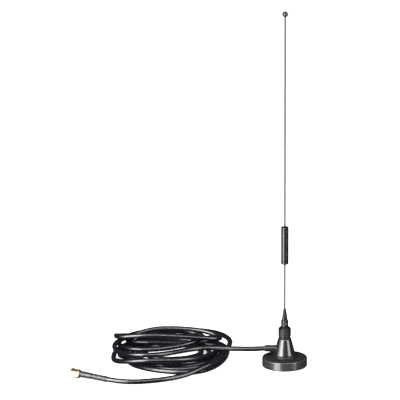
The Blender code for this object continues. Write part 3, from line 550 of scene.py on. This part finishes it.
# ---------------------------------------------------------------- cable
CABLE_R = 2.475
CABLE_SIDES = 24
CABLE_RINGS = 2.0       # distance between rings of the jacket
CABLE_AROUND = 0.0155   # metres round the jacket
JACKET_BORE = 1.95
JACKET_BORE_DEPTH = 3.0
HANK_GAP = 5.5
PATH_STEP = 3.0
SETTLE_ROUNDS = 2000
SETTLE_FIXED = 8
QUARTER_STEPS = 40
CURVE_STEPS = 20
PLUG_JACKET_S = 19.3
HANK_TURNS = [
    ((-138, -26, 16.8), (-170.5, 17, 10.6, 2.0), (-122, 50, 17.4), (-65.5, 34, 12.6)),
    ((-135, 18, 21.2), (-170, 33, 16.0, 0.5), (-130, 52, 9.4), (-66, 36, 7.4)),
    ((-132, -26, 13.0), (-169, 4, 5.8), (-112, 86, 2.6), (-58.5, 42, 2.6)),
    ((-98, -31, 2.6), (-159, 17, 2.6), (-114, 76, 4.0), (-80, 42, 13.5)),
    ((-138, 15, 8.6), (-163.5, 37, 8.2), (-105, 75, 7.4), (-68.5, 40, 2.6)),
    ((-111, -14, 2.6), (-165, 20, 3.2), (-104, 70, 2.6), (-72, 53, 10.0)),
    ((-133, 36, 9.8), (-158, 51, 6.8), (-118, 65, 7.6), (-76, 36, 2.6)),
    ((-118, -7, 2.6), (-148, 32, 2.6), (-110, 64, 2.6), (-84, 36, 2.6)),
    ((-124, 6, 2.6), (-142.5, 34, 2.6), (-106, 78, 5.4), (-63.5, 40, 2.6)),
    ((-108, -22, 2.6), (-153.5, 27, 2.6), (-92, 84, 8.6), (-54.5, 38, 11.0)),
]
HANK_EXIT = [(-33, 0.2, 17.0), (-48, 1.5, 16.6), (-62, 3.5, 16.4), (-75, 5, 16.2)]
HANK_TAIL = [(-59, 8, 10.5), (-69, -18, 9.5), (-83, -32, 6.8), (-100, -44, 3.4),
             (-122, -56, 2.7), (-146, -63.3, 2.7), (-163, -62.3, 2.8)]
PLUG_FRONT = Vector((-0.2136, -0.0392, 0.0052))
PLUG_BACKWARD = Vector((0.0355, -0.0180, -0.0018)).normalized()
PLUG_TURN = (-PLUG_BACKWARD).to_track_quat("Z", "Y")
PLUG_FRAME = Matrix.Translation(PLUG_FRONT) @ PLUG_TURN.to_matrix().to_4x4()


def ease(t):
    """Smooth step from 0 to 1."""
    return t * t * (3 - 2 * t)


def quarter(start, end, along_x_first):
    """Quarter of an ellipse in plan from one station to the next.

    A fourth number in a station delays (above 1) or hastens (below 1) the climb after it.
    """
    t = np.linspace(0, 1, QUARTER_STEPS, endpoint=False)
    rise = np.sin(t * np.pi / 2)
    fall = 1 - np.cos(t * np.pi / 2)
    share_x, share_y = (rise, fall) if along_x_first else (fall, rise)
    lag = start[3] if len(start) > 3 else 1
    a = np.array(start[:3], float)
    b = np.array(end[:3], float)
    return np.stack([a[0] + (b[0] - a[0]) * share_x, a[1] + (b[1] - a[1]) * share_y,
                     a[2] + (b[2] - a[2]) * ease(t) ** lag], axis=1)


def through(controls, before=None):
    """Smooth line through control points, with an optional point leading in."""
    c = np.array(controls, float)
    first = 2 * c[0] - c[1] if before is None else np.array(before, float)
    p = np.vstack([first, c, 2 * c[-1] - c[-2]])
    t = np.linspace(0, 1, CURVE_STEPS, endpoint=False)[:, None]
    pieces = []
    for i in range(1, len(p) - 2):
        a, b, d, e = p[i - 1], p[i], p[i + 1], p[i + 2]
        pieces.append(0.5 * (2 * b + (d - a) * t + (2 * a - 5 * b + 4 * d - e) * t ** 2
                             + (3 * b - a - 3 * d + e) * t ** 3))
    pieces.append(c[-1:])
    return np.vstack(pieces)


def resample(points, step):
    """Points at an even distance along a line."""
    length = np.concatenate([[0], np.cumsum(np.linalg.norm(np.diff(points, axis=0), axis=1))])
    at = np.linspace(0, length[-1], int(round(length[-1] / step)) + 1)
    return np.stack([np.interp(at, length, points[:, k]) for k in range(3)], axis=1)


def settle(points, gap, floor, rounds, fixed, refresh=10):
    """Push strands apart until none is nearer than the gap, keeping the shift smooth."""
    count = len(points)
    step = np.linalg.norm(np.diff(points, axis=0), axis=1).mean()
    index = np.arange(count)
    free = np.ones((count, 1))
    free[:fixed] = 0
    free[-fixed:] = 0
    apart = np.triu(np.abs(index[:, None] - index[None, :]) * step > 4 * gap)
    shift = np.zeros_like(points)
    for turn in range(rounds):
        q = points + shift
        if turn % refresh == 0:
            square = (q ** 2).sum(axis=1)
            distance2 = square[:, None] + square[None] - 2 * q @ q.T
            i, j = np.nonzero(apart & (distance2 < (gap * 1.8) ** 2))
        line = q[i] - q[j]
        distance = np.linalg.norm(line, axis=1)
        over = np.maximum(gap - distance, 0)
        push = line / np.maximum(distance, 1e-6)[:, None] * (0.5 * over)[:, None]
        total = np.zeros_like(points)
        hits = np.zeros(count)
        np.add.at(total, i, push)
        np.add.at(total, j, -push)
        np.add.at(hits, i, over > 0)
        np.add.at(hits, j, over > 0)
        total /= np.sqrt(np.maximum(hits, 1))[:, None]
        total[:, 2] += 0.5 * np.maximum(floor - q[:, 2], 0)
        shift = shift + total * free
        inner = 0.25 * shift[:-2] + 0.5 * shift[1:-1] + 0.25 * shift[2:]
        shift[1:-1] = inner * free[1:-1]
    return points + shift


def cable_path():
    """Centre line of the cable in millimetres, by the same rule as the CAD part."""
    plug = np.array(PLUG_FRONT) / MM
    back = np.array(PLUG_BACKWARD)
    start = np.array((-3.5, 0, CABLE_Z / MM))
    straight = [start, (-12, 0, CABLE_Z / MM), (-20.5, 0, CABLE_Z / MM - 0.1)]
    pieces = [through([*straight, *HANK_EXIT])]
    leaving = np.array(HANK_EXIT[-1], float)
    first = np.array(HANK_TURNS[0][0][:3], float)
    t = np.linspace(0, 1, QUARTER_STEPS, endpoint=False)[1:, None]
    lead = leaving + (first - leaving) * ease(t)
    lead[:, 0] = leaving[0] + (first[0] - leaving[0]) * t[:, 0]
    pieces.append(lead)
    for i, (front, left, rear, right) in enumerate(HANK_TURNS):
        pieces.append(quarter(front, left, True))
        pieces.append(quarter(left, rear, False))
        pieces.append(quarter(rear, right, True))
        if i + 1 < len(HANK_TURNS):
            pieces.append(quarter(right, HANK_TURNS[i + 1][0], False))
    last = HANK_TURNS[-1][3][:3]
    ends = [plug + back * s for s in (42, 36, 28, PLUG_JACKET_S)]
    pieces.append(through([last, *HANK_TAIL, *ends], before=np.array(last) + (4, 20, 0)))
    line = resample(np.vstack(pieces), PATH_STEP)
    return settle(line, HANK_GAP, CABLE_R, SETTLE_ROUNDS, SETTLE_FIXED)


def swept(name, line, radius, bore, depth, sides, look, body, stands_for):
    """Tube along a line in mm, slightly wavy and oval, with a shallow bore in both ends.

    Its own coordinate runs along it and around it, for marks left by the die.
    """
    count = len(line)
    tangent = np.gradient(line, axis=0)
    tangent /= np.linalg.norm(tangent, axis=1)[:, None]
    length = np.concatenate([[0], np.cumsum(np.linalg.norm(np.diff(line, axis=0), axis=1))])
    angle = np.arange(sides) * math.tau / sides
    side = np.cross(tangent[0], (0, 0, 1.0))
    circles = []
    for i in range(count):
        side = side - tangent[i] * (side @ tangent[i])
        side /= np.linalg.norm(side)
        up = np.cross(side, tangent[i])
        circles.append(np.cos(angle)[:, None] * side + np.sin(angle)[:, None] * up)
    rings = []
    for i in range(count):
        swell = 1 + 0.006 * math.sin(length[i] / 7.3) * math.sin(length[i] / 41.0)
        oval = 1 + 0.008 * math.sin(length[i] / 23.0) * np.cos(2 * angle)
        rings.append(line[i] + radius * swell * oval[:, None] * circles[i])
    first, last = line[0], line[-1]
    rings.insert(0, first + bore * circles[0])
    rings.insert(0, first + depth * tangent[0] + bore * circles[0])
    rings.append(last + bore * circles[-1])
    rings.append(last - depth * tangent[-1] + bore * circles[-1])
    along = np.concatenate([[-2, -1], length, [length[-1] + 1, length[-1] + 2]])
    faces = []
    spots = []
    for i in range(len(rings) - 1):
        a, b = i * sides, (i + 1) * sides
        for j in range(sides):
            k = (j + 1) % sides
            faces.append((a + j, b + j, b + k, a + k))
            near, far = along[i] * MM, along[i + 1] * MM
            this, after = j / sides * CABLE_AROUND, (j + 1) / sides * CABLE_AROUND
            spots += [(near, this), (far, this), (far, after), (near, after)]
    for ring, order in ((0, 1), (len(rings) - 1, -1)):
        faces.append(tuple(range(ring * sides, (ring + 1) * sides))[::order])
        spots += [(along[ring] * MM, j / sides * CABLE_AROUND) for j in range(sides)]
    mesh = bpy.data.meshes.new(name)
    mesh.from_pydata((np.vstack(rings) * MM).tolist(), [], faces)
    layer = mesh.uv_layers.new(name="UVMap")
    layer.data.foreach_set("uv", np.array(spots, np.float32).ravel())
    shaped = bmesh.new()
    shaped.from_mesh(mesh)
    bmesh.ops.recalc_face_normals(shaped, faces=shaped.faces)
    shaped.to_mesh(mesh)
    shaped.free()
    obj = bpy.data.objects.new(name, mesh)
    bpy.context.scene.collection.objects.link(obj)
    return settle_in(obj, look, body, stands_for)


swept("coax_cable_run", resample(through(cable_path()), CABLE_RINGS), CABLE_R, JACKET_BORE,
      JACKET_BORE_DEPTH, CABLE_SIDES, "cable_pvc", "base", ["coax_jacket"])

# ---------------------------------------------------------------- plug
NUT_FLATS = 0.0080
NUT_LENGTH = 0.0096
THREAD_PITCH = 0.000706
THREAD_DEPTH = 0.00034
THREAD_END = -0.0058
THREAD_SKIN = (0.0031, 0.0036)  # radii between which a point belongs to the thread
FLATS_FROM = 0.0036             # radius beyond which a point belongs to the outside
FACE_RING = 0.0039              # radius up to which the end faces stay round
CHAMFER_RISE = 1.05
GROOVE_AT = 0.0066
GROOVE_HALF_WIDTH = 0.00028
GROOVE_DEPTH = 0.00022


def nut_shape(angle, r, z, row):
    """Hexagonal outside with turned chamfers and a thread inside the mouth."""
    flats = hex_radius(angle, NUT_FLATS)
    outer = r > FLATS_FROM
    from_end = np.minimum(-z, z + NUT_LENGTH)
    turned = NUT_FLATS / 2 - 0.00005 + from_end * CHAMFER_RISE
    groove = (np.abs(z + GROOVE_AT) < GROOVE_HALF_WIDTH) * GROOVE_DEPTH
    outside = np.minimum(flats, turned) - groove
    outside = np.where(r > FACE_RING, outside, np.minimum(r, outside))
    depth = np.clip((-z - 0.0003) / 0.0005, 0, 1) * np.clip((z - THREAD_END) / 0.0004, 0, 1)
    thread = wave(z / THREAD_PITCH + angle / math.tau) * THREAD_DEPTH * depth
    inside = np.where((r > THREAD_SKIN[0]) & (r < THREAD_SKIN[1]), r - thread * 0.8, r)
    return np.where(outer, outside, inside), z


NUT = [(0.00325, 0.0), (0.0036, 0.0), (0.00395, 0.0)]
for i in range(0, 9):
    NUT.append((0.0046, -0.00008 * i))
for z in np.arange(-0.0009, -0.0062, -0.0006):
    NUT.append((0.0046, float(z)))
for z in (-0.00628, -0.00634, -0.0066, -0.00686, -0.00692, -0.0075, -0.0082, -0.0088):
    NUT.append((0.0046, z))
for i in range(8, -1, -1):
    NUT.append((0.0046, -NUT_LENGTH + 0.00008 * i))
NUT += [(0.00395, -NUT_LENGTH), (0.0030, -NUT_LENGTH), (0.0027, -NUT_LENGTH),
        (0.00255, -NUT_LENGTH + 0.00015), (0.00255, -0.0062), (0.00255, -0.0060),
        (0.0030, -0.0060), (0.00324, -0.0060)]
for z in np.arange(-0.0059, -0.0002, 0.00009):
    NUT.append((0.00325, float(z)))
spun("coupling_nut_hex", NUT, 192, "nut_gold", "plug_nut", ["coupling_nut"], shape=nut_shape,
     place=PLUG_FRAME)

spun("plug_body_turned", rounded([(2.08, -1.5, 0.05), (2.3, -1.5, 0.08), (2.3, -3.9, 0.05),
                                  (3.0, -3.9, 0.1), (3.0, -4.9, 0.1), (2.25, -4.9, 0.05),
                                  (2.25, -9.9, 0), (2.65, -9.9, 0.15), (2.65, -11.0, 0.1),
                                  (1.85, -11.0, 0.05), (1.85, -17.5, 0.1), (1.55, -17.5, 0),
                                  (1.55, -9.6, 0), (2.08, -9.6, 0)]),
     72, "plug_gold", "base", ["plug_body"], place=PLUG_FRAME)
spun("plug_gasket_ring", rounded([(2.5, -3.1, 0.15), (3.08, -3.1, 0.2), (3.08, -3.7, 0.2),
                                  (2.5, -3.7, 0.15)]),
     64, "gasket_silicone", "base", ["plug_gasket"], place=PLUG_FRAME)
spun("plug_dielectric_core", rounded([(0.6, -2.0, 0.05), (1.92, -2.0, 0.12), (1.92, -9.3, 0.1),
                                      (0.6, -9.3, 0)]),
     64, "ptfe", "base", ["plug_dielectric"], place=PLUG_FRAME)
spun("centre_pin_turned", rounded([(0, -0.9, 0), (0.22, -0.9, 0.08), (0.45, -1.25, 0.1),
                                   (0.45, -9.6, 0), (0.95, -9.6, 0.1), (0.95, -12.2, 0.1),
                                   (0.6, -12.2, 0), (0.6, -10.3, 0), (0, -10.3, 0)],
                                  closed=False),
     32, "plug_gold", "base", ["centre_pin"], closed=False, place=PLUG_FRAME)


def shrunk(seed, swell):
    """Uneven skin of a shrunk sleeve: soft waves, tighter at the ends."""
    def shape(angle, r, z, row):
        ripple = (np.sin(z * 2600 + 2 * np.sin(angle + seed)) * 0.35
                  + np.sin(3 * angle + z * 900 + seed) * 0.5
                  + np.sin(2 * angle - z * 1500 + 2 * seed) * 0.4)
        return r + ripple * swell * (r > 0.00265), z
    return shape


SHORT = rounded([(2.78, -9.95, 0.1), (3.12, -9.95, 0.2), (3.2, -11.2, 0.8), (3.18, -18.6, 1.2),
                 (3.0, -20.2, 1.2), (2.99, -23.1, 0.2), (2.6, -23.1, 0.1), (2.6, -19.6, 0.3),
                 (2.78, -18.9, 0.3)])
spun("heatshrink_short_skin", densify(SHORT, -0.0231, -0.0100, 0.0004), 64, "heatshrink", "base",
     ["heatshrink_short"], shape=shrunk(0.4, 0.00002), place=PLUG_FRAME)
LONG = rounded([(2.56, -23.9, 0.1), (2.84, -23.9, 0.2), (2.9, -24.8, 0.6), (2.86, -38.6, 0.6),
                (2.9, -39.8, 0.22), (2.56, -39.8, 0.1)])
spun("heatshrink_long_skin", densify(LONG, -0.0398, -0.0239, 0.0004), 64, "heatshrink", "base",
     ["heatshrink_long"], shape=shrunk(2.1, 0.00002), place=PLUG_FRAME)

# ---------------------------------------------------------------- stage
# painted shade on the floor: how near a piece must be, and the occlusion band, for the floor's
# colour and glow to darken
SHADE_REACH = 0.007         # how near a piece must be to darken the floor
SHADE_BAND = (0.06, 0.40)
FLOOR_GLOW = 0.78
FLOOR_HALF = 9.0
FLOOR_DROP = 0.0002


def floor_look():
    """Pale floor that glows evenly, with painted shade: its colour and glow are darkened by
    ambient occlusion in narrow gaps under the object.
    """
    look = Look("pale_floor")
    cloud = look.noise(3.0, 3.0, 0.5)
    shade = look.node("AmbientOcclusion", samples=16)
    shade.inputs["Distance"].default_value = SHADE_REACH
    clear = look.span(shade.outputs["AO"], *SHADE_BAND, 0.0, 1.0)
    pale = look.mix(cloud, (0.80, 0.80, 0.80), (0.84, 0.84, 0.84))
    # painted shade: near-black colour and no glow where ambient occlusion finds pieces close by
    look.wire(look.shader.inputs["Base Color"], look.mix(clear, (0.06, 0.06, 0.07), pale))
    look.wire(look.shader.inputs["Emission Color"], (1.0, 1.0, 1.0, 1.0))
    look.wire(look.shader.inputs["Emission Strength"], look.span(clear, 0.0, 1.0, 0.0, FLOOR_GLOW))
    look.shader.inputs["Roughness"].default_value = 0.9
    look.shader.inputs["Specular IOR Level"].default_value = 0.1
    return look.material


floor_mesh = bpy.data.meshes.new("floor")
floor_mesh.from_pydata([(x * FLOOR_HALF, y * FLOOR_HALF, 0)
                        for x, y in ((-1, -1), (1, -1), (1, 1), (-1, 1))], [], [(0, 1, 2, 3)])
floor = bpy.data.objects.new("floor", floor_mesh)
floor.location = (0, 0, -FLOOR_DROP)
floor_mesh.materials.append(floor_look())
bpy.context.scene.collection.objects.link(floor)
floor.visible_glossy = False
floor.visible_diffuse = False
floor.visible_shadow = False

MIDDLE = Vector((-0.05, 0.0, 0.06))
PLUG_PLACE = Vector((-0.209, -0.041, 0.006))
# name, azimuth and elevation in degrees, distance, size, power, what it is aimed at
LIGHTS = [
    ("key_left", -38, 8, 1.4, (0.88, 1.9), 60, MIDDLE),
    ("fill_right", 56, 24, 1.4, (0.70, 1.1), 15, MIDDLE),
    ("low_right", 54, -12, 1.4, (0.36, 1.0), 3, MIDDLE),
    ("front_high", -4, 36, 1.5, (2.2, 0.36), 26, MIDDLE),
    ("overhead", -20, 74, 1.5, (1.2, 0.8), 4, MIDDLE),
    ("plug_card", -54, 14, 0.20, (0.14, 0.26), 0.46, PLUG_PLACE),
]


def softbox(name, azimuth, elevation, distance, size, power, aim):
    """Rectangular studio light aimed at a point; azimuth 0 is the camera's side."""
    turn, rise = math.radians(azimuth), math.radians(elevation)
    away = Vector((math.sin(turn) * math.cos(rise), -math.cos(turn) * math.cos(rise),
                   math.sin(rise)))
    data = bpy.data.lights.new(name, "AREA")
    data.shape = "RECTANGLE"
    data.size, data.size_y = size
    data.energy = power
    lamp = bpy.data.objects.new(name, data)
    bpy.context.scene.collection.objects.link(lamp)
    lamp.location = aim + away * distance
    lamp.rotation_euler = (-away).to_track_quat("-Z", "Y").to_euler()
    return lamp


for light in LIGHTS:
    softbox(*light)

world = bpy.data.worlds.new("studio")
bpy.context.scene.world = world
world.use_nodes = True
tree = world.node_tree
tree.nodes.clear()
output = tree.nodes.new("ShaderNodeOutputWorld")
path = tree.nodes.new("ShaderNodeLightPath")
seen = tree.nodes.new("ShaderNodeBackground")      # what the camera sees
seen.inputs["Color"].default_value = (1, 1, 1, 1)
seen.inputs["Strength"].default_value = 1.0
felt = tree.nodes.new("ShaderNodeBackground")      # what lights the object
felt.inputs["Color"].default_value = (0.95, 0.97, 1.0, 1)
felt.inputs["Strength"].default_value = 0.05
either = tree.nodes.new("ShaderNodeMixShader")
tree.links.new(path.outputs["Is Camera Ray"], either.inputs[0])
tree.links.new(felt.outputs[0], either.inputs[1])
tree.links.new(seen.outputs[0], either.inputs[2])
tree.links.new(either.outputs[0], output.inputs["Surface"])

# ---------------------------------------------------------------- camera
ELEVATION = math.radians(16.7)
DISTANCE = 15.0
FRAME_WIDTH = 0.400
AIM = Vector((-0.0849, 0.0, 0.17307))
lens = bpy.data.cameras.new("long_lens")
lens.sensor_width = 36.0
lens.lens = 36.0 * DISTANCE / FRAME_WIDTH
lens.clip_start = 1.0
lens.clip_end = 100.0
camera = bpy.data.objects.new("camera", lens)
bpy.context.scene.collection.objects.link(camera)
camera.location = AIM + DISTANCE * Vector((0, -math.cos(ELEVATION), math.sin(ELEVATION)))
camera.rotation_euler = (math.pi / 2 - ELEVATION, 0, 0)
bpy.context.scene.camera = camera
bpy.context.scene.view_settings.view_transform = "Standard"
bpy.context.scene.view_settings.look = "None"
